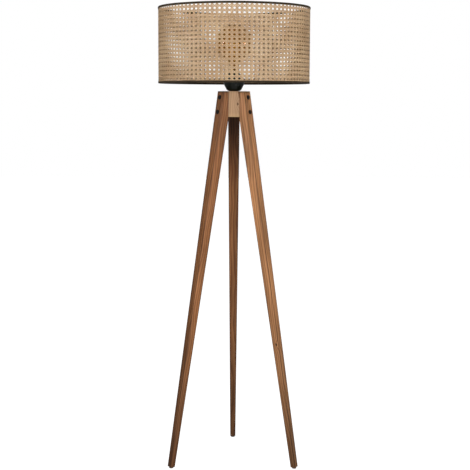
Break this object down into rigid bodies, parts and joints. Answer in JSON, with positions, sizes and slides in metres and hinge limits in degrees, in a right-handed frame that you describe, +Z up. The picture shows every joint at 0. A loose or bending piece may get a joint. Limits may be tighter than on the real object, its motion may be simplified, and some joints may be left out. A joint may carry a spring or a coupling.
{
  "type": "tripod floor lamp",
  "caption": "Tripod floor lamp with tapered wooden legs bolted to a six-sided head block and a drum shade of woven cane edged with black tape.",
  "frame": {"origin": "on the lamp's upright axis at floor level, in the middle of the bounding box's underside", "axes": "+Z up along the lamp's axis; the open front of the tripod faces -Y and the back leg stands on +Y"},
  "size_m": [0.5, 0.5, 1.52],
  "materials": {
    "leg_wood": "walnut-stained pine, oiled, satin",
    "block_wood": "pale planed pine, matt",
    "black_steel": "black oxide, satin",
    "brass": "drawn, bright",
    "felt": "pressed felt, matt",
    "zinc_steel": "zinc plated",
    "black_plastic": "moulded, low sheen",
    "porcelain": "glazed",
    "frame_wire": "black enamelled wire",
    "woven_cane": "split rattan cane, woven, low sheen",
    "black_tape": "woven edging tape, matt",
    "amber_glass": "amber tinted, clear",
    "clear_glass": "clear",
    "filament": "yellow phosphor coat, matt"
  },
  "bodies": {
    "stand": {"leg_back": "leg_wood", "leg_left": "leg_wood", "leg_right": "leg_wood", "head_block": "block_wood", "leg_bolt_back_upper": "black_steel", "leg_bolt_back_lower": "black_steel", "leg_bolt_left_upper": "black_steel", "leg_bolt_left_lower": "black_steel", "leg_bolt_right_upper": "black_steel", "leg_bolt_right_lower": "black_steel", "block_insert_back_upper": "brass", "block_insert_back_lower": "brass", "block_insert_left_upper": "brass", "block_insert_left_lower": "brass", "block_insert_right_upper": "brass", "block_insert_right_lower": "brass", "foot_glide_back": "felt", "foot_glide_left": "felt", "foot_glide_right": "felt", "threaded_nipple": "zinc_steel", "block_washer": "zinc_steel", "nipple_nut": "zinc_steel", "terminal_screw_left": "zinc_steel", "terminal_screw_right": "zinc_steel", "cord_bush": "black_plastic", "holder_bowl": "black_plastic", "holder_base": "black_plastic", "holder_sleeve": "black_plastic", "holder_insulator": "porcelain", "screw_shell": "brass", "centre_contact": "brass"},
    "shade": {"spider_hub_ring": "frame_wire", "spider_arm_back": "frame_wire", "spider_arm_left": "frame_wire", "spider_arm_right": "frame_wire", "bottom_wire_ring": "frame_wire", "top_wire_ring": "frame_wire", "cane_drum": "woven_cane", "bottom_tape": "black_tape", "top_tape": "black_tape"},
    "collar": {"shade_collar": "black_plastic"},
    "bulb_thread": {"bulb_tip_contact": "zinc_steel"},
    "bulb": {"bulb_globe": "amber_glass", "bulb_cap": "brass", "bulb_insulator": "black_plastic", "bulb_stem": "clear_glass", "filament_foot": "zinc_steel", "filament_crown": "zinc_steel", "filament_1": "filament", "filament_2": "filament", "filament_3": "filament", "filament_4": "filament"}
  },
  "joints": [
    {"name": "shade_turn", "type": "hinge", "parent": "stand", "child": "shade", "pos_m": [0, 0, 1.2856], "axis": [0, 0, 1], "continuous": true},
    {"name": "collar_turn", "type": "hinge", "parent": "stand", "child": "collar", "pos_m": [0, 0, 1.295], "axis": [0, 0, 1], "range_deg": [0, 1080]},
    {"name": "bulb_rise", "type": "slide", "parent": "stand", "child": "bulb_thread", "axis": [0, 0, 1], "range_m": [0, 0.0182]},
    {"name": "bulb_turn", "type": "hinge", "parent": "bulb_thread", "child": "bulb", "pos_m": [0, 0, 1.3], "axis": [0, 0, 1], "range_deg": [0, 1800]}
  ],
  "couplings": [
    {"joint": "bulb_rise", "follows": "bulb_turn", "m_per_rad": 0.00057614}
  ]
}
